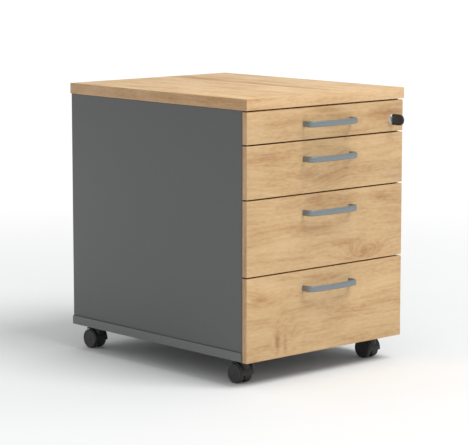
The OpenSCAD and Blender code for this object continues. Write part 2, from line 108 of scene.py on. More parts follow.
def new_surface(name):
    """A new material with its node tree and its one surface shader."""
    material = bpy.data.materials.new(name)
    material.use_nodes = True
    tree = material.node_tree
    return material, tree, tree.nodes["Principled BSDF"]


def in_millimetres(tree):
    """The place on the piece, in millimetres."""
    place = add(tree, "ShaderNodeTexCoord").outputs["Object"]
    return add(tree, "ShaderNodeVectorMath", {0: place, "Scale": 1 / MM}, operation="SCALE").outputs[0]


def colour_stops(tree, factor, stops):
    """A colour ramp through (position, hex colour) stops."""
    ramp = add(tree, "ShaderNodeValToRGB", {0: factor})
    elements = ramp.color_ramp.elements
    while len(elements) < len(stops):
        elements.new(0.5)
    for element, (position, colour) in zip(elements, stops):
        element.position = position
        element.color = linear(colour)
    return ramp.outputs[0]


# ---------- materials ----------

# Where the printed figure bends round a knot, in mm: along, across, half length, half height, lift
FRONT_KNOTS = (
    (120, 234, 44, 20, 40), (60, 226, 60, 16, 10), (-131, 82, 12, 52, 44), (-98, 70, 14, 44, 24),
    (-170, 168, 34, 30, 12), (-60, 396, 70, 24, 20), (60, 384, 60, 20, -10), (-80, 300, 110, 24, -9),
    (40, 150, 110, 30, 11),
)
# Darker patches of the figure, in mm and strength: along, across, half length, half height, depth
FRONT_SHADES = (
    (0, 526, 40, 11, 0.38), (-92, 512, 46, 9, 0.26), (165, 512, 52, 16, 0.30), (60, 480, 70, 8, 0.12),
    (-30, 392, 90, 14, 0.24), (110, 408, 80, 12, 0.16), (-150, 440, 60, 10, 0.12),
    (-14, 356, 60, 9, 0.28), (-95, 346, 46, 9, 0.18), (160, 340, 46, 14, 0.28),
    (-60, 300, 100, 8, 0.18), (128, 240, 30, 13, 0.34), (104, 236, 12, 9, 0.24),
    (60, 262, 120, 5, 0.10), (-133, 84, 6, 24, 0.40), (-112, 76, 5, 20, 0.30),
    (-175, 172, 26, 10, 0.14), (60, 120, 90, 10, 0.12), (150, 96, 60, 12, 0.12),
    (-200, 60, 30, 8, 0.16),
)
TOP_KNOTS = ((60, 60, 260, 18, 10), (-160, -90, 160, 40, 22), (120, -130, 140, 30, -18))
TOP_SHADES = (
    (40, 56, 330, 9, 0.40), (200, 74, 160, 14, 0.16), (150, 110, 130, 16, 0.14), (60, 12, 150, 8, 0.14),
    (-40, 96, 120, 8, 0.12), (230, -60, 90, 20, 0.10),
)
# Tones of the printed figure, dark to light, for the top, the fronts and the edgings: one oak decor,
# with painted shade making the fronts and edgings darker than the top, the sideways edgings darkest
TOP_TONES = ((0.36, "C2935F"), (0.44, "D3AA76"), (0.51, "E2BD8E"), (0.58, "EACA9D"))
FRONT_TONES_IN_PAINTED_SHADE = ((0.33, "A8805C"), (0.42, "BD976D"), (0.51, "CBAA7E"), (0.60, "D4B48A"))
EDGE_TONES = ((0.34, "B98D5C"), (0.43, "CBA374"), (0.51, "D8B488"), (0.60, "E0BF95"))
SIDE_EDGE_TONES_IN_PAINTED_SHADE = ((0.34, "A07B50"), (0.43, "B08C63"), (0.51, "BC9A74"), (0.60, "C6A680"))
# Streaks of the figure: length and width in mm, weight, detail. Then the weights of the mottle and
# the clouds, and what all the tones' weights are divided by
STREAKS = ((260, 24, 0.30, 2.0), (120, 6, 0.42, 3.0), (36, 1.7, 0.30, 3.0))
MOTTLE, CLOUD, TONE_SUM = 0.30, 0.44, 1.72


def stretched_noise(tree, place, sizes, detail, roughness=0.5):
    """Noise whose cells have those sizes, in mm."""
    scaled = add(tree, "ShaderNodeVectorMath", {0: place, 1: [1 / size for size in sizes]},
                 operation="MULTIPLY")
    return add(tree, "ShaderNodeTexNoise", {"Vector": scaled.outputs[0], "Scale": 1.0,
                                            "Detail": detail, "Roughness": roughness}).outputs[0]


def plus_part(tree, base, part, weight):
    """base + weight * part."""
    inputs = {0: part, 1: weight, 2: base}
    return add(tree, "ShaderNodeMath", inputs, operation="MULTIPLY_ADD").outputs[0]


def bell(tree, board, along, across, half_a, half_c):
    """A soft hill on the board: 1 at that place, falling to nothing over the half sizes."""
    inputs = {0: board, 1: (1 / half_a, 1 / half_c, 0), 2: (-along / half_a, -across / half_c, 0)}
    near = add(tree, "ShaderNodeVectorMath", inputs, operation="MULTIPLY_ADD").outputs[0]
    far = add(tree, "ShaderNodeVectorMath", {0: near, 1: near}, operation="DOT_PRODUCT")
    inputs = {0: 1 / math.e, 1: far.outputs["Value"]}
    return add(tree, "ShaderNodeMath", inputs, operation="POWER").outputs[0]


def set_gloss(tree, surface, noise, low, high):
    """Roughness that follows a noise, between low and high."""
    inputs = {0: noise, 1: 0.3, 2: 0.7, 3: low, 4: high}
    gloss = add(tree, "ShaderNodeMapRange", inputs).outputs[0]
    tree.links.new(gloss, surface.inputs["Roughness"])


def set_relief(tree, surface, height, strength, depth, sunk=False):
    """Fine relief in the surface, with its depth in mm; sunk turns it inwards."""
    inputs = {"Height": height, "Strength": strength, "Distance": depth * MM}
    bump = add(tree, "ShaderNodeBump", inputs, invert=sunk).outputs[0]
    tree.links.new(bump, surface.inputs["Normal"])


def oak_decor(name, along, across, tones, knots=(), shades=(), cut=0.0):
    """Oak decor paper under a hard melamine film: a printed figure of soft streaks that flow round
    knots, fine short pores pressed into the film, and an even satin gloss."""
    material, tree, surface = new_surface(name)
    axes = add(tree, "ShaderNodeSeparateXYZ", {0: in_millimetres(tree)}).outputs
    board = add(tree, "ShaderNodeCombineXYZ", {0: axes[along], 1: axes[across], 2: cut}).outputs[0]

    # the height of a growth ring over the board: straight grain, slow sway, ripple, then knots
    height = axes[across]
    for length, width, sway in ((320, 130, 34.0), (110, 46, 9.0), (22, 12, 2.2)):
        height = plus_part(tree, height, stretched_noise(tree, board, (length, width, 1), 2.0), sway)
    for a, c, half_a, half_c, lift in knots:
        height = plus_part(tree, height, bell(tree, board, a, c, half_a, half_c), lift)
    grain = add(tree, "ShaderNodeCombineXYZ", {0: axes[along], 1: height, 2: cut}).outputs[0]

    # streaks that follow the rings, from broad bands to hair lines, and soft clouds across them
    tone = 0.0
    for length, width, weight, detail in STREAKS:
        streak = stretched_noise(tree, grain, (length, width, 1), detail, 0.6)
        tone = plus_part(tree, tone, streak, weight / TONE_SUM)
    tone = plus_part(tree, tone, stretched_noise(tree, board, (14, 5, 1), 2.0), MOTTLE / TONE_SUM)
    cloud = stretched_noise(tree, board, (85, 36, 1), 3.0)
    tone = plus_part(tree, tone, cloud, CLOUD / TONE_SUM)
    for a, c, half_a, half_c, depth in shades:
        tone = plus_part(tree, tone, bell(tree, board, a, c, half_a, half_c), -0.38 * depth)
    colour = colour_stops(tree, tone, tones)

    # pores: dark dashes 0.4 mm wide and 7 mm long, pressed a few hundredths of a millimetre deep
    dash = stretched_noise(tree, grain, (7, 0.4, 1), 1.0)
    pore = add(tree, "ShaderNodeMapRange", {0: dash, 1: 0.60, 2: 0.72, 3: 0.0, 4: 1.0}).outputs[0]
    shallow = add(tree, "ShaderNodeMath", {0: pore, 1: 0.25}, operation="MULTIPLY").outputs[0]
    inputs = {0: shallow, 6: colour, 7: linear("A67C4F")}
    colour = add(tree, "ShaderNodeMix", inputs, data_type="RGBA").outputs[2]
    tree.links.new(colour, surface.inputs["Base Color"])
    surface.inputs["Specular IOR Level"].default_value = 0.22
    gloss = add(tree, "ShaderNodeMapRange", {0: cloud, 3: 0.42, 4: 0.54})
    tree.links.new(gloss.outputs[0], surface.inputs["Roughness"])
    set_relief(tree, surface, pore, 0.35, 0.04, sunk=True)
    return material


def speckled(name, tones, grain, roughness, relief, spread=0.08, pebble=0.9, metallic=0.0):
    """A finish whose colour wanders between two close tones in clouds as large as grain, and whose
    relief has pebbles. Sizes are in mm; roughness varies by spread."""
    material, tree, surface = new_surface(name)
    place = in_millimetres(tree)
    cloud = add(tree, "ShaderNodeTexNoise", {"Vector": place, "Scale": 1 / grain, "Detail": 4.0})
    colour = colour_stops(tree, cloud.outputs[0], ((0.35, tones[0]), (0.65, tones[1])))
    tree.links.new(colour, surface.inputs["Base Color"])
    set_gloss(tree, surface, cloud.outputs[0], roughness - spread, roughness + spread)
    pebbles = add(tree, "ShaderNodeTexNoise", {"Vector": place, "Scale": 1 / pebble, "Detail": 2.0})
    set_relief(tree, surface, pebbles.outputs[0], 0.5, relief)
    surface.inputs["Metallic"].default_value = metallic
    return material


def brushed(name, tones, axis, roughness):
    """Drawn or brushed bright metal: hair lines along one axis, which catch the light unevenly."""
    material, tree, surface = new_surface(name)
    hair_size = [0.25, 0.25, 0.25]
    hair_size[axis] = 30
    hair = stretched_noise(tree, in_millimetres(tree), hair_size, 3.0)
    colour = colour_stops(tree, hair, ((0.3, tones[0]), (0.7, tones[1])))
    tree.links.new(colour, surface.inputs["Base Color"])
    set_gloss(tree, surface, hair, roughness - 0.06, roughness + 0.08)
    set_relief(tree, surface, hair, 0.2, 0.02)
    surface.inputs["Metallic"].default_value = 1.0
    return material


def wood_finishes():
    """Oak decor of the fronts, of the top and of the edging strips that run along each axis."""
    return {
        # printed oak under a clear film: warm, satin, with streaks that flow round the knots; the
        # fronts take darker tones than the top, which is painted shade
        "oak_front": oak_decor("oak_decor_front", 0, 2, FRONT_TONES_IN_PAINTED_SHADE, FRONT_KNOTS, FRONT_SHADES, 3.1),
        "oak_top": oak_decor("oak_decor_top", 1, 0, TOP_TONES, TOP_KNOTS, TOP_SHADES, 11.7),
        # plastic edging with an oak print: straight grain, no knots; painted shade darkens it below the
        # top, most where it faces sideways
        "oak_edge_x": oak_decor("oak_edging_across", 0, 2, EDGE_TONES, cut=21.3),
        "oak_edge_y": oak_decor("oak_edging_deep", 1, 2, SIDE_EDGE_TONES_IN_PAINTED_SHADE, cut=37.9),
        "oak_edge_z": oak_decor("oak_edging_upright", 2, 1, SIDE_EDGE_TONES_IN_PAINTED_SHADE, cut=45.2),
        # turned beech: pale, matt, with short flecks
        "beech": speckled("beech_dowel_wood", ("B98D62", "CBA377"), 3.0, 0.65, 0.05),
    }


def board_and_plastic_finishes():
    """Graphite boards, lacquer and plastics."""
    return {
        # melamine-faced board in graphite: a pearl texture of about 1 mm under an even satin film
        "graphite": speckled("graphite_melamine", ("565757", "5B5C5C"), 2.2, 0.46, 0.05, 0.04),
        # its plastic edging: a shade lighter and smoother than the face
        "graphite_edge": speckled("graphite_edging", ("626363", "686969"), 3.0, 0.42, 0.03, 0.04),
        # zinc die casting with a silver-grey lacquer that has fine metal flakes in it
        "handle": speckled("silver_grey_lacquer", ("7A8183", "8B9294"), 0.5, 0.40, 0.02, 0.05,
                           pebble=0.35, metallic=0.45),
        # glass-filled nylon: black, dull, with the orange-peel skin of the mould
        "hood_nylon": speckled("black_nylon_hood", ("1C1C1D", "262627"), 1.4, 0.50, 0.03),
        # the wheels' nylon: a touch greyer and shinier, as treads get
        "wheel_nylon": speckled("black_nylon_wheel", ("242425", "303031"), 1.1, 0.44, 0.03),
        # moulded ABS: soft black, so that the bow's rim still shows against its sunk faces
        "key_plastic": speckled("black_abs_key", ("26272A", "303134"), 0.8, 0.50, 0.02),
        # moulded polystyrene with a leather-like pebble
        "tray_plastic": speckled("charcoal_polystyrene", ("2E3032", "38393B"), 2.0, 0.55, 0.12, 0.06,
                                 pebble=1.2),
        # natural nylon: milky, a little waxy, with faint flow clouds
        "bar_nylon": speckled("natural_nylon_bar", ("D6D4CB", "E0DED6"), 6.0, 0.40, 0.02),
    }


def metal_finishes():
    """Coated, plated and bare metals."""
    return {
        # powder coat on sheet steel: light grey, with a low orange peel a few millimetres wide
        "drawer_steel": speckled("light_grey_powder_coat", ("B9BBBC", "C4C6C7"), 5.0, 0.42, 0.06, 0.05,
                                 pebble=1.6),
        # the same coat in black on the castor plates, duller and finer
        "black_steel": speckled("black_powder_coat", ("18191A", "222324"), 1.5, 0.45, 0.04),
        # zinc plating: bright, faintly clouded steel
        "zinc": speckled("zinc_plating", ("A9ACAE", "C3C5C6"), 2.5, 0.34, 0.01, 0.07, metallic=1.0),
        # rolled strip with zinc on it: long hair lines from the rolls
        "rail_zinc": brushed("zinc_plated_runner", ("A3A6A8", "C2C4C6"), 1, 0.34),
        # bare ground steel: a brighter and sharper shine
        "bright_steel": brushed("bright_steel_bar", ("B4B5B6", "D0D1D1"), 0, 0.26),
        # satin chrome: bright and soft, with fine turning lines
        "chrome": brushed("satin_chrome_plating", ("EAEAEC", "F8F8FA"), 1, 0.46),
    }


# ---------- mesh tools ----------

def merged(node):
    """A copy of a CAD node's mesh in bmesh form, with its loose triangles joined up."""
    mesh = bmesh.new()
    mesh.from_mesh(NODES[node].data)
    bmesh.ops.remove_doubles(mesh, verts=mesh.verts, dist=0.002 * MM)
    bmesh.ops.dissolve_limit(mesh, angle_limit=math.radians(0.4), verts=mesh.verts, edges=mesh.edges)
    return mesh


def new_object(name, mesh):
    """An object at the origin with that bmesh as its mesh."""
    data = bpy.data.meshes.new(name)
    mesh.to_mesh(data)
    mesh.free()
    piece = bpy.data.objects.new(name, data)
    bpy.context.scene.collection.objects.link(piece)
    return piece


def apply_modifiers(piece):
    """Turns the piece's modifiers into plain mesh."""
    graph = bpy.context.evaluated_depsgraph_get()
    data = bpy.data.meshes.new_from_object(piece.evaluated_get(graph))
    piece.modifiers.clear()
    piece.data = data


def smooth(piece, angle=32):
    """Smooth shading with hard edges above that angle."""
    piece.data.shade_smooth()
    piece.data.set_sharp_from_angle(angle=math.radians(angle))


def rounded_edges(piece, width, segments, outline=False):
    """Rounds the piece's sharp edges, or with outline only those along its outer box."""
    bevel = piece.modifiers.new("rounding", "BEVEL")
    bevel.width = width
    bevel.segments = segments
    bevel.use_clamp_overlap = False
    bevel.limit_method = "WEIGHT" if outline else "ANGLE"
    bevel.angle_limit = math.radians(38)
    if outline:
        mark_outline(piece.data)
    apply_modifiers(piece)
    smooth(piece)


def mark_outline(data):
    """Gives full bevel weight to the edges that run along the mesh's outer box."""
    low = Vector([min(v.co[i] for v in data.vertices) for i in range(3)])
    high = Vector([max(v.co[i] for v in data.vertices) for i in range(3)])
    weights = data.attributes.new("bevel_weight_edge", "FLOAT", "EDGE")
    for edge in data.edges:
        a, b = (data.vertices[i].co for i in edge.vertices)
        walls = 0
        for i in range(3):
            for wall in (low[i], high[i]):
                if abs(a[i] - wall) < 0.01 * MM and abs(b[i] - wall) < 0.01 * MM:
                    walls += 1
        weights.data[edge.index].value = 1.0 if walls == 2 else 0.0


def paint(piece, *materials):
    """Gives the piece its materials, the first on every face."""
    piece.data.materials.clear()
    for material in materials:
        piece.data.materials.append(material)


def settle(piece, node):
    """The piece stands for a CAD node, on that node's body and with its finish."""
    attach(piece, NODES[node]["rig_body"])
    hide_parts(node)
    return piece


def softened(node, material, width, segments=2, outline=False):
    """A CAD node's own shape with its edges rounded and its finish on."""
    piece = new_object(node + "_finished", merged(node))
    rounded_edges(piece, width * MM, segments, outline)
    paint(piece, material)
    return settle(piece, node)


def islands(node):
    """Lowest and highest corners of each separate solid of a CAD node."""
    mesh = merged(node)
    left = set(mesh.verts)
    found = []
    while left:
        group = {left.pop()}
        edge_of_group = set(group)
        while edge_of_group:
            edge_of_group = {e.other_vert(v) for v in edge_of_group for e in v.link_edges} - group
            group |= edge_of_group
        left -= group
        low = Vector([min(v.co[i] for v in group) for i in range(3)])
        high = Vector([max(v.co[i] for v in group) for i in range(3)])
        found.append((low, high))
    mesh.free()
    return sorted(found, key=lambda box: tuple(round(c, 5) for c in (*box[0], *box[1])))


def arc(middle, radius, angles):
    """Points on a circle, at angles in radians."""
    return [(middle[0] + radius * math.cos(a), middle[1] + radius * math.sin(a)) for a in angles]


def lathe(mesh, outline, centre, axis, segments):
    """Turns an outline of (radius, distance along axis) round the axis; its ends are on the axis."""
    axis = Vector(axis)
    side = Vector((0, 0, 1)) if abs(axis.z) < 0.5 else Vector((1, 0, 0))
    other = axis.cross(side)
    rings = []
    for radius, along in outline:
        if radius == 0:
            rings.append([mesh.verts.new(centre + axis * along)])
            continue
        ring = []
        for i in range(segments):
            a = 2 * math.pi * i / segments
            spoke = side * math.cos(a) + other * math.sin(a)
            ring.append(mesh.verts.new(centre + axis * along + radius * spoke))
        rings.append(ring)
    for one, two in zip(rings, rings[1:]):
        for i in range(segments):
            j = (i + 1) % segments
            corners = [one[i % len(one)], one[j % len(one)], two[j % len(two)], two[i % len(two)]]
            mesh.faces.new(list(dict.fromkeys(corners)))
    return mesh


# ---------- boards ----------

def board(node, face, edging, width=0.6):
    """A board with its edging: faces of the two big sides get one material, the four narrow ones
    theirs by the way they run. edging is one material for each of X, Y and Z facing sides."""
    piece = new_object(node + "_board", merged(node))
    rounded_edges(piece, width * MM, 3, outline=True)
    finishes = [face] + [m for m in edging if m]
    paint(piece, *dict.fromkeys(finishes))
    order = [m.name for m in piece.data.materials]
    for polygon in piece.data.polygons:
        facing = max(range(3), key=lambda i: abs(polygon.normal[i]))
        if edging[facing]:
            polygon.material_index = order.index(edging[facing].name)
    return settle(piece, node)


def boards(finish):
    """Top, base, sides, back and the four fronts."""
    board("top_panel", finish["oak_top"], (finish["oak_edge_y"], finish["oak_edge_x"], None), 0.8)
    for k in DRAWERS:
        board(f"front_{k}", finish["oak_front"], (finish["oak_edge_z"], None, finish["oak_edge_x"]))
    board("base_panel", finish["graphite"], (finish["graphite_edge"], finish["graphite_edge"], None))
    board("side_left", finish["graphite"], (None, finish["graphite_edge"], finish["graphite_edge"]))
    board("side_right", finish["graphite"], (None, finish["graphite_edge"], finish["graphite_edge"]))
    board("back_panel", finish["graphite"], (finish["graphite_edge"], None, finish["graphite_edge"]))


# ---------- handles ----------

# Band and bends of a handle, in metres
HANDLE_THICK, HANDLE_BEND, HANDLE_SAG = 5.5 * MM, 10 * MM, 4 * MM
HANDLE_CORNER, HANDLE_CROWN = 2.5 * MM, 0.35 * MM


def bow_path(half_pitch, reach, thick, bend, sag):
    """Plan points and headings of a bow handle's middle line, from its left foot to its right one."""
    arch_half = half_pitch - bend
    arch_r = (arch_half ** 2 + sag ** 2) / (2 * sag)
    arch_y = -reach + thick / 2 + arch_r
    bend_x = -arch_half
    bend_y = arch_y - math.sqrt((arch_r - bend) ** 2 - bend_x ** 2)
    meet = math.atan2(bend_y - arch_y, bend_x) % (2 * math.pi)
    points = [(-half_pitch, bend_y * i / 6, math.pi) for i in range(6)]
    for i in range(17):
        a = math.pi + (meet - math.pi) * i / 16
        points.append((bend_x + bend * math.cos(a), bend_y + bend * math.sin(a), a))
    for i in range(1, 25):
        a = meet + (1.5 * math.pi - meet) * i / 24
        points.append((arch_r * math.cos(a), arch_y + arch_r * math.sin(a), a))
    back = [(-x, y, 3 * math.pi - a) for x, y, a in reversed(points[:-1])]
    return points + back


def band_section(half_h):
    """The band's section with rounded corners: across its thickness, then up."""
    section = []
    for cx, cz, start in ((1, 1, 0), (-1, 1, 90), (-1, -1, 180), (1, -1, 270)):
        middle = (cx * (HANDLE_THICK / 2 - HANDLE_CORNER), cz * (half_h - HANDLE_CORNER))
        section += arc(middle, HANDLE_CORNER, [math.radians(start + 22.5 * i) for i in range(5)])
    return section


def bow_handle(k, finish):
    """A die-cast bow of rectangular band with soft corners and a slightly crowned front."""
    node = f"handle_{k}"
    low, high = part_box(node)
    half_pitch = (high.x - low.x) / 2 - HANDLE_THICK / 2
    half_h = (high.z - low.z) / 2
    middle_z = (low.z + high.z) / 2
    section = band_section(half_h)
    path = bow_path(half_pitch, high.y - low.y, HANDLE_THICK, HANDLE_BEND, HANDLE_SAG)
    mesh = bmesh.new()
    rings = []
    for x, y, heading in path:
        ring = []
        for out, up in section:
            if out > 0:
                out -= HANDLE_CROWN * (up / half_h) ** 2
            place = (x + out * math.cos(heading), high.y + y + out * math.sin(heading), middle_z + up)
            ring.append(mesh.verts.new(place))
        rings.append(ring)
    count = len(section)
    for one, two in zip(rings, rings[1:]):
        for i in range(count):
            j = (i + 1) % count
            mesh.faces.new((one[i], one[j], two[j], two[i]))
    mesh.faces.new(rings[0])
    mesh.faces.new(list(reversed(rings[-1])))
    bmesh.ops.recalc_face_normals(mesh, faces=mesh.faces)
    piece = new_object(node + "_bow", mesh)
    smooth(piece, 50)
    paint(piece, finish["handle"])
    return settle(piece, node)


# ---------- castors ----------

def wheel_section(r, w):
    """A wheel of radius r and width w in section, in mm: radius against distance from its inner
    face. Bore, inner face with its sunk ring, tread with rounded edges, rim, dish and hub cap."""
    bore = [(0, 8.3), (3.05, 8.3), (3.05, 0)]
    inner_face = [(5.5, 0), (6, 0.8), (r - 5, 0.8), (r - 4.4, 0), (r - 1.4, 0)]
    inner_edge = arc((r - 1.4, 1.4), 1.4, [a - math.pi / 2 for a in (0.5, 1.0, 1.57)])
    outer_edge = arc((r - 2.2, w - 2.2), 2.2, (0, 0.4, 0.8, 1.2, 1.57))
    rim = [(r - 3.6, w), (r - 4.2, w - 0.5), (r - 4.6, w - 0.75), (r - 6, w - 0.8)]
    hub_cap = [(5.2, w - 0.75), (4.8, w - 0.4), (4.2, w - 0.15), (2.4, w), (0, w)]
    return bore + inner_face + inner_edge + outer_edge + rim + hub_cap


def castor_wheel(node, finish):
    """A moulded wheel: rounded tread, a raised rim round a shallow dish, and a hub cap."""
    low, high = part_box(node)
    centre = (low + high) / 2
    radius = (high.z - low.z) / 2
    width = high.x - low.x
    outward = -1 if node.endswith("left") else 1
    inner = Vector((centre.x - outward * width / 2, centre.y, centre.z))
    outline = [(a * MM, b * MM) for a, b in wheel_section(radius / MM, width / MM)]
    mesh = lathe(bmesh.new(), outline, inner, (outward, 0, 0), 56)
    bmesh.ops.recalc_face_normals(mesh, faces=mesh.faces)
    piece = new_object(node + "_moulding", mesh)
    smooth(piece, 40)
    paint(piece, finish["wheel_nylon"])
    return settle(piece, node)


def castors(finish):
    """Plates, hoods, axles and wheels."""
    softened("castor_plates", finish["black_steel"], 0.4)
    for corner in CASTORS:
        softened(f"castor_hood_{corner}", finish["hood_nylon"], 0.6, 3)
        softened(f"castor_axle_{corner}", finish["bright_steel"], 0.4)
        for side in ("left", "right"):
            castor_wheel(f"wheel_{corner}_{side}", finish)


# ---------- fasteners and balls, made by Geometry Nodes ----------

def new_tree(name, sizes):
    """A Geometry Nodes tree with named inputs: geometry, sizes in metres and a material."""
    tree = bpy.data.node_groups.new(name, "GeometryNodeTree")
    tree.interface.new_socket("Geometry", in_out="INPUT", socket_type="NodeSocketGeometry")
    for size in sizes:
        tree.interface.new_socket(size, in_out="INPUT", socket_type="NodeSocketFloat")
    tree.interface.new_socket("Material", in_out="INPUT", socket_type="NodeSocketMaterial")
    tree.interface.new_socket("Geometry", in_out="OUTPUT", socket_type="NodeSocketGeometry")
    return tree, add(tree, "NodeGroupInput").outputs


def finish_tree(tree, instances, given):
    """Real mesh of the instances, with the given material."""
    real = add(tree, "GeometryNodeRealizeInstances", {0: instances})
    coloured = add(tree, "GeometryNodeSetMaterial", {0: real.outputs[0], "Material": given["Material"]})
    add(tree, "NodeGroupOutput", {0: coloured.outputs[0]})


def times(tree, size, factor):
    """A size times a constant."""
    return add(tree, "ShaderNodeMath", {0: size, 1: factor}, operation="MULTIPLY").outputs[0]


def round_bar(tree, vertices, radius, length, rise):
    """A cylinder along Z with its middle at that height."""
    inputs = {"Vertices": vertices, "Radius": radius, "Depth": length}
    bar = add(tree, "GeometryNodeMeshCylinder", inputs).outputs[0]
    up = add(tree, "ShaderNodeCombineXYZ", {2: rise}).outputs[0]
    return add(tree, "GeometryNodeTransform", {0: bar, "Translation": up}).outputs[0]


def block(tree, x, y, z):
    """A block of that size, which cuts one arm of a cross recess."""
    size = add(tree, "ShaderNodeCombineXYZ", {0: x, 1: y, 2: z}).outputs[0]
    return add(tree, "GeometryNodeMeshCube", {0: size}).outputs[0]


def screw_tree():
    """Screws with a cross recess: on each point, turned by the point's attribute turn, with the
    head's outer face at the point and the shank along the turned +Z."""
    tree, given = new_tree("screw_set", ("Head radius", "Head height", "Shank radius", "Length"))
    head_r, head_h = given["Head radius"], given["Head height"]
    half = times(tree, head_h, 0.5)
    head = round_bar(tree, 28, head_r, head_h, half)
    arm, thin = times(tree, head_r, 1.15), times(tree, head_r, 0.2)
    first_arm = {0: head, 1: block(tree, arm, thin, head_h)}
    cut = add(tree, "GeometryNodeMeshBoolean", first_arm, operation="DIFFERENCE")
    tree.links.new(block(tree, thin, arm, head_h), cut.inputs[1])
    inputs = {0: given["Length"], 1: 0.5, 2: half}
    rise = add(tree, "ShaderNodeMath", inputs, operation="MULTIPLY_ADD").outputs[0]
    shank = round_bar(tree, 16, given["Shank radius"], given["Length"], rise)
    screw = add(tree, "GeometryNodeJoinGeometry", {0: cut.outputs[0]})
    tree.links.new(shank, screw.inputs[0])
    turn = add(tree, "GeometryNodeInputNamedAttribute", {"Name": "turn"}, data_type="FLOAT_VECTOR")
    rotation = add(tree, "FunctionNodeEulerToRotation", {0: turn.outputs[0]}).outputs[0]
    inputs = {0: given["Geometry"], "Instance": screw.outputs[0], "Rotation": rotation}
    placed = add(tree, "GeometryNodeInstanceOnPoints", inputs)
    finish_tree(tree, placed.outputs[0], given)
    return tree


def ball_tree():
    """Rows of bearing balls that start at each point and run along +Y."""
    tree, given = new_tree("ball_rows", ("Row length", "Spacing", "Ball radius"))
    inputs = {0: given["Row length"], 1: given["Spacing"]}
    count = add(tree, "ShaderNodeMath", inputs, operation="DIVIDE").outputs[0]
    step = add(tree, "ShaderNodeCombineXYZ", {1: given["Spacing"]}).outputs[0]
    line = add(tree, "GeometryNodeMeshLine", {"Count": count, "Offset": step}).outputs[0]
    inputs = {"Segments": 8, "Rings": 6, "Radius": given["Ball radius"]}
    ball = add(tree, "GeometryNodeMeshUVSphere", inputs).outputs[0]
    row = add(tree, "GeometryNodeInstanceOnPoints", {0: line, "Instance": ball}).outputs[0]
    inputs = {0: given["Geometry"], "Instance": row}
    rows = add(tree, "GeometryNodeInstanceOnPoints", inputs).outputs[0]
    finish_tree(tree, rows, given)
    return tree


def grow(name, tree, points, turns, **inputs):
    """A plain mesh object that the tree makes from the points."""
    data = bpy.data.meshes.new(name)
    data.from_pydata(points, [], [])
    attribute = data.attributes.new("turn", "FLOAT_VECTOR", "POINT")
    for item, turn in zip(attribute.data, turns):
        item.vector = turn
    piece = bpy.data.objects.new(name, data)
    bpy.context.scene.collection.objects.link(piece)
    modifier = piece.modifiers.new("grow", "NODES")
    modifier.node_group = tree
    for socket in tree.interface.items_tree:
        key = socket.name.replace(" ", "_").lower()
        if socket.in_out == "INPUT" and key in inputs:
            modifier[socket.identifier] = inputs[key]
    apply_modifiers(piece)
    return piece


def joined(name, pieces):
    """One object from several, which are removed."""
    mesh = bmesh.new()
    for piece in pieces:
        mesh.from_mesh(piece.data)
    whole = new_object(name, mesh)
    for piece in pieces:
        bpy.data.objects.remove(piece)
    return whole


def upwards(low, high):
    """Heading of the castor plates' screws."""
    return Vector((0, 0, 1))


def outwards(low, high):
    """Heading of the runners' screws, into the side panel on their side."""
    return Vector((1 if low.x + high.x > 0 else -1, 0, 0))


def forwards(low, high):
    """Heading of the screws that go into the fronts and handles."""
    return Vector((0, -1, 0))


# Head height and shank radius of the screws, in metres
BOARD_SCREW = (1.2 * MM, 1.75 * MM)
HANDLE_SCREW = (3.0 * MM, 2.0 * MM)


def screws(node, boxes, heading, tree, finish, head_and_shank):
    """All screws of one size of a node, each on the middle of its head's outer face."""
    head_h, shank_r = head_and_shank
    points, turns = [], []
    for low, high in boxes:
        way = heading(low, high)
        axis = max(range(3), key=lambda i: abs(way[i]))
        point = (low + high) / 2
        point[axis] = low[axis] if way[axis] > 0 else high[axis]
        points.append(point)
        turns.append(Vector((0, 0, 1)).rotation_difference(way).to_euler())
    size = boxes[0][1] - boxes[0][0]
    head_r = size[(axis + 1) % 3] / 2
    return grow(node + "_part", tree, points, turns, head_radius=head_r, head_height=head_h,
                shank_radius=shank_r, length=size[axis] - head_h, material=finish["zinc"])


def ring_nut(box, finish):
    """The lock's ring nut, chamfered at both ends."""
    low, high = box
    centre = (low + high) / 2
    start = Vector((centre.x, low.y, centre.z))
    r, depth, bore, chamfer = (high.x - low.x) / 2, high.y - low.y, 9.05 * MM, 0.6 * MM
    outline = [(bore, 0), (r - chamfer, 0), (r, chamfer)]
    outline += [(r, depth - chamfer), (r - chamfer, depth), (bore, depth), (bore, 0)]
    mesh = lathe(bmesh.new(), outline, start, (0, 1, 0), 48)
    bmesh.ops.remove_doubles(mesh, verts=mesh.verts, dist=0.001 * MM)
    bmesh.ops.recalc_face_normals(mesh, faces=mesh.faces)
    piece = new_object("ring_nut", mesh)
    paint(piece, finish["zinc"])
    return piece


def settle_fasteners(parts, node, name, finish):
    """Fasteners of one body as one zinc-plated piece."""
    piece = joined(name, parts)
    paint(piece, finish["zinc"])
    for polygon in piece.data.polygons:
        polygon.material_index = 0
    smooth(piece, 30)
    return settle(piece, node)


def fasteners(finish):
    """Screws of the castors, the runners, the handles and the fronts."""
    tree = screw_tree()
    node = "cabinet_screws"
    boxes = islands(node)
    tall = [b for b in boxes if b[1].z - b[0].z > b[1].x - b[0].x]
    flat = [b for b in boxes if b not in tall]
    parts = [screws(node, tall, upwards, tree, finish, BOARD_SCREW),
             screws(node, flat, outwards, tree, finish, BOARD_SCREW)]
    settle_fasteners(parts, node, "cabinet_screws_set", finish)
    large = 20 * MM
    for k in DRAWERS:
        node = f"fixings_{k}"
        boxes = islands(node)
        long = [b for b in boxes if b[1].y - b[0].y > large]
        wide = [b for b in boxes if b[1].x - b[0].x > large]
        short = [b for b in boxes if b not in long and b not in wide]
        parts = [screws(node, long, forwards, tree, finish, HANDLE_SCREW),
                 screws(node, short, forwards, tree, finish, BOARD_SCREW)]
        parts += [ring_nut(b, finish) for b in wide]
        settle_fasteners(parts, node, node + "_set", finish)


# A row of bearing balls, in metres: its length, the balls' spacing and their radius
BALL_ROW, BALL_STEP, BALL_RADIUS = 200 * MM, 6 * MM, 0.85 * MM


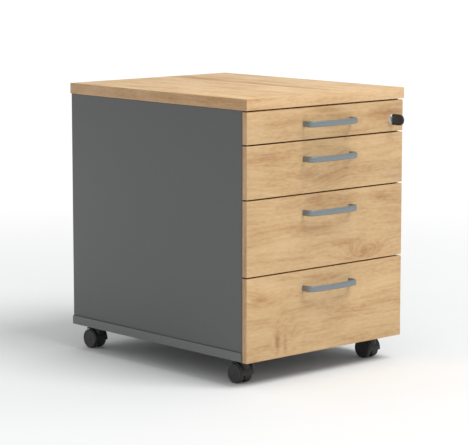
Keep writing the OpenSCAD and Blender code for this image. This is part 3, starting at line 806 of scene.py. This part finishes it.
def runner_balls(finish):
    """Bearing balls between the runners' sections: outer rows at the back half of each middle
    section, inner rows at its front half, so that they stay inside at every place of the drawer."""
    tree = ball_tree()
    for k in (2, 3, 4):
        low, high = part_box(f"rails_middle_{k}")
        z, half = (low.z + high.z) / 2, (high.z - low.z) / 2
        # each row's place across, its start, and its distance from the section's middle height
        outer = (high.x - 3.3 * MM, high.y - BALL_ROW - 6 * MM, half + 0.9 * MM)
        inner = (high.x - 5.6 * MM, low.y + 6 * MM, half - 2.15 * MM)
        points = []
        for side in (-1, 1):
            for up in (-1, 1):
                for x, y, rise in (outer, inner):
                    points.append((side * x, y, z + up * rise))
        turns = [(0, 0, 0)] * len(points)
        piece = grow(f"runner_balls_{k}", tree, points, turns, row_length=BALL_ROW,
                     spacing=BALL_STEP, ball_radius=BALL_RADIUS, material=finish["bright_steel"])
        smooth(piece, 180)
        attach(piece, f"runner_{k}")


# ---------- drawers, runners and lock ----------

def drawers(finish):
    """Steel boxes, the pen tray with its chassis, and the runners."""
    for k in (2, 3, 4):
        softened(f"drawer_box_{k}", finish["drawer_steel"], 0.25)
        softened(f"rails_middle_{k}", finish["rail_zinc"], 0.25)
    softened("pen_chassis_1", finish["drawer_steel"], 0.25)
    softened("pen_tray_1", finish["tray_plastic"], 0.7, 3)
    for k in DRAWERS:
        softened(f"rails_cabinet_{k}", finish["rail_zinc"], 0.25)
        softened(f"rails_drawer_{k}", finish["rail_zinc"], 0.25)


def key_bow(finish):
    """A moulded bow: rounded outer end, soft edges and a sunk panel on each face."""
    low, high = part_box("key_bow")
    half_t, half_h = (high.x - low.x) / 2, (high.z - low.z) / 2
    centre_x, centre_z = (low.x + high.x) / 2, (low.z + high.z) / 2
    turn_y = low.y + half_h
    corner, rim, sunk = 1.0 * MM, 2.2 * MM, 0.5 * MM
    outline = arc((turn_y, 0), half_h, [math.pi / 2 + math.pi * i / 28 for i in range(29)])
    for sign, start in ((-1, 270), (1, 0)):
        middle = (high.y - corner, sign * (half_h - corner))
        outline += arc(middle, corner, [math.radians(start + 18 * i) for i in range(6)])
    mesh = bmesh.new()
    face = mesh.faces.new([mesh.verts.new((centre_x - half_t, y, centre_z + z)) for y, z in outline])
    grown = bmesh.ops.extrude_face_region(mesh, geom=[face])
    for vertex in grown["geom"]:
        if isinstance(vertex, bmesh.types.BMVert):
            vertex.co.x += 2 * half_t
    bmesh.ops.recalc_face_normals(mesh, faces=mesh.faces)
    for side in [f for f in mesh.faces if len(f.verts) > 8]:
        bmesh.ops.inset_region(mesh, faces=[side], thickness=rim)
        bmesh.ops.inset_region(mesh, faces=[side], thickness=sunk, depth=-sunk)
    piece = new_object("key_bow_moulding", mesh)
    rounded_edges(piece, 0.45 * MM, 3)
    paint(piece, finish["key_plastic"])
    return settle(piece, "key_bow")


def lock(finish):
    """Housing, core, key, and the bar with its guides."""
    softened("lock_housing", finish["chrome"], 0.6, 3)
    softened("lock_core", finish["chrome"], 0.15)
    softened("key_blade", finish["bright_steel"], 0.3)
    key_bow(finish)
    softened("lock_bar", finish["bar_nylon"], 0.4)
    softened("lock_bar_guides", finish["tray_plastic"], 0.4)


def joinery(finish):
    """Dowels, cam bolts and cam discs."""
    softened("dowels", finish["beech"], 0.6)
    softened("cam_bolts", finish["zinc"], 0.3)
    softened("cam_discs", finish["zinc"], 0.3)


# ---------- studio ----------

def floor_material():
    """Matt white studio floor that fades into the lit backdrop away from the cabinet."""
    material, tree, surface = new_surface("studio_floor")
    place = add(tree, "ShaderNodeTexCoord").outputs["Object"]
    away = add(tree, "ShaderNodeVectorMath", {0: place}, operation="LENGTH").outputs["Value"]
    inputs = {0: away, 1: 0.35, 2: 3.0, 3: 0.0, 4: 1.0}
    fade = add(tree, "ShaderNodeMapRange", inputs, interpolation_type="SMOOTHSTEP").outputs[0]
    mottle = add(tree, "ShaderNodeTexNoise", {"Vector": place, "Scale": 3.0, "Detail": 2.0})
    colour = colour_stops(tree, mottle.outputs[0], ((0.3, "F7F8F8"), (0.7, "F9FAFA")))
    tree.links.new(colour, surface.inputs["Base Color"])
    surface.inputs["Roughness"].default_value = 0.9
    surface.inputs["Specular IOR Level"].default_value = 0.1
    glow = add(tree, "ShaderNodeEmission", {"Color": (1, 1, 1, 1), "Strength": 1.05})
    mix = add(tree, "ShaderNodeMixShader", {0: fade, 1: surface.outputs[0], 2: glow.outputs[0]})
    tree.links.new(mix.outputs[0], tree.nodes["Material Output"].inputs["Surface"])
    return material


def studio():
    """Floor, soft key light from the front right, weak fill, and a white surround."""
    bpy.ops.mesh.primitive_circle_add(vertices=96, radius=30, fill_type="NGON", location=(0, 0, 0))
    floor = bpy.context.object
    floor.name = "floor"
    floor.data.materials.append(floor_material())
    world = bpy.data.worlds.new("surround")
    bpy.context.scene.world = world
    world.use_nodes = True
    tree = world.node_tree
    background = tree.nodes["Background"]
    seen = add(tree, "ShaderNodeLightPath").outputs["Is Camera Ray"]
    strength = add(tree, "ShaderNodeMapRange", {0: seen, 3: 0.58, 4: 1.05})
    tree.links.new(strength.outputs[0], background.inputs["Strength"])
    background.inputs["Color"].default_value = (1, 1, 1, 1)
    soft_light("key", (0.84, -3.18, 5.32), (0, 0, 0.3), 3.0, 210)
    soft_light("fill", (-2.4, -2.6, 1.5), (0, 0, 0.3), 2.0, 5)
    bpy.context.scene.view_settings.view_transform = "Standard"


def soft_light(name, place, target, size, power):
    """A square soft box that faces the target."""
    light = bpy.data.objects.new(name, bpy.data.lights.new(name, "AREA"))
    light.data.size = size
    light.data.energy = power
    light.location = place
    light.rotation_euler = (Vector(target) - Vector(place)).to_track_quat("-Z", "Y").to_euler()
    bpy.context.scene.collection.objects.link(light)


set_camera()
finishes = {**wood_finishes(), **board_and_plastic_finishes(), **metal_finishes()}
boards(finishes)
for number in DRAWERS:
    bow_handle(number, finishes)
castors(finishes)
drawers(finishes)
runner_balls(finishes)
fasteners(finishes)
lock(finishes)
joinery(finishes)
studio()
